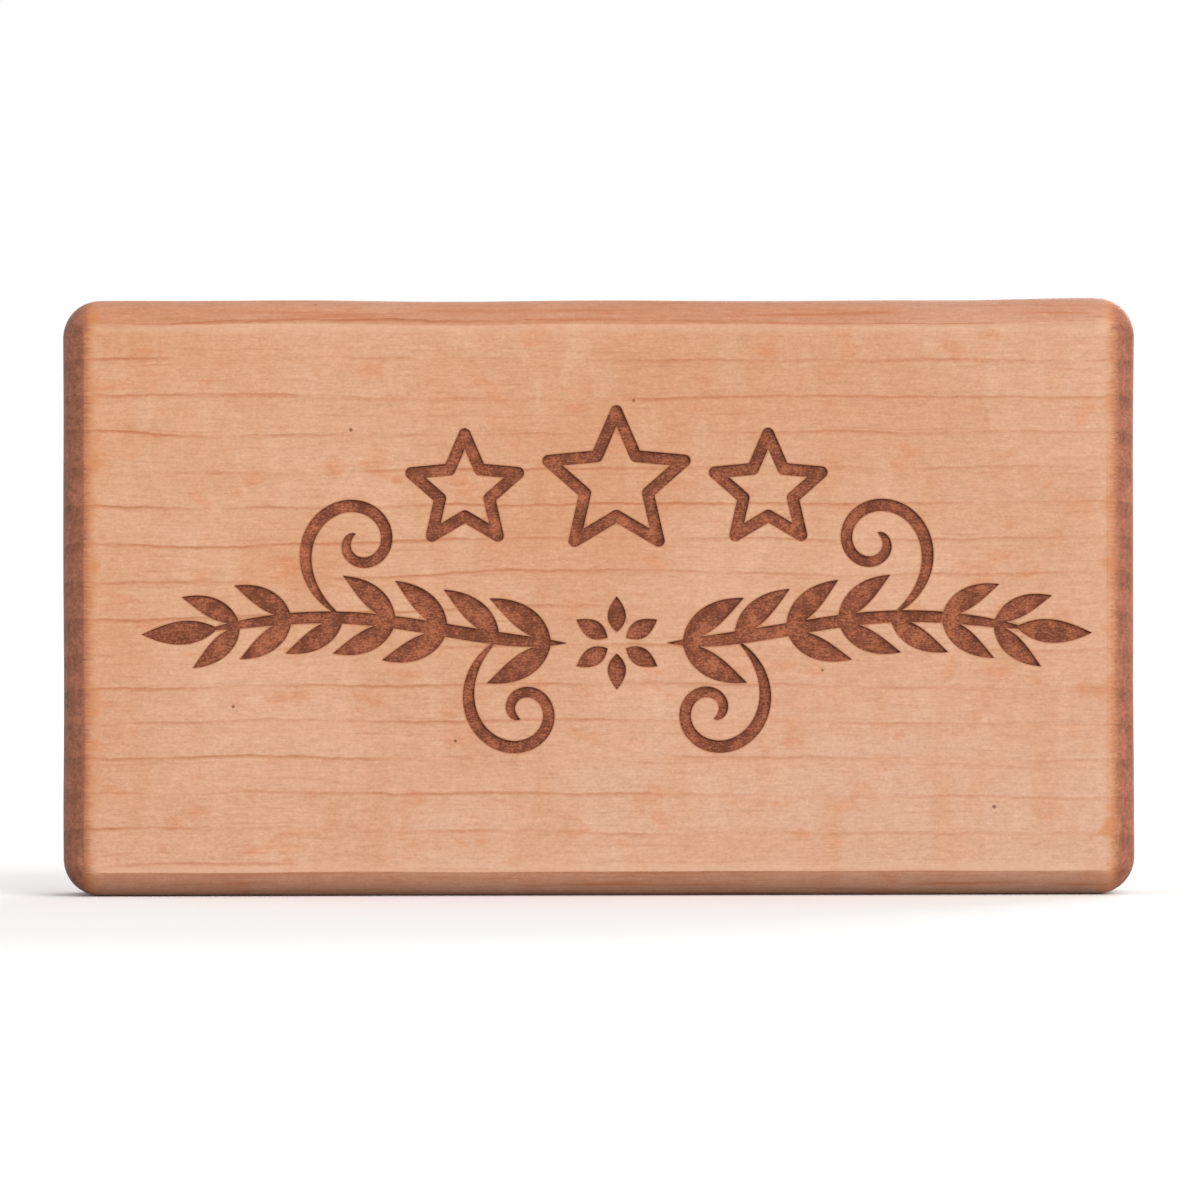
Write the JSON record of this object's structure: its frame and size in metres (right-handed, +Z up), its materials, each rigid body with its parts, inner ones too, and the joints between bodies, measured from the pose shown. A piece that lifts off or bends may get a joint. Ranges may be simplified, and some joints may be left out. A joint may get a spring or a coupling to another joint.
{
  "type": "wooden plaque",
  "caption": "Small rounded hardwood award plaque with an engraved star and leaf ornament, rubber bumpers and a flush keyhole hanger on its back.",
  "frame": {"origin": "on the ground under the middle of the plaque's overall box, which counts the rubber bumpers on its back", "axes": "+X to the right of a reader who faces the engraving, along the plaque's length; +Y from the engraved front to the back, along its thickness; +Z up, as it stands or hangs"},
  "size_m": [0.09, 0.017, 0.05],
  "materials": {
    "hardwood": "fine sanded and lightly oiled, with burnt brown engraving",
    "plated_steel": "bright zinc plating, stamped",
    "screw_steel": "zinc plated",
    "bumper_rubber": "satin moulded"
  },
  "bodies": {
    "root": {"wood_block": "hardwood", "keyhole_hanger": "plated_steel", "hanger_screw_left": "screw_steel", "hanger_screw_right": "screw_steel", "bumper_top_left": "bumper_rubber", "bumper_top_right": "bumper_rubber", "bumper_bottom_left": "bumper_rubber", "bumper_bottom_right": "bumper_rubber"}
  },
  "joints": []
}
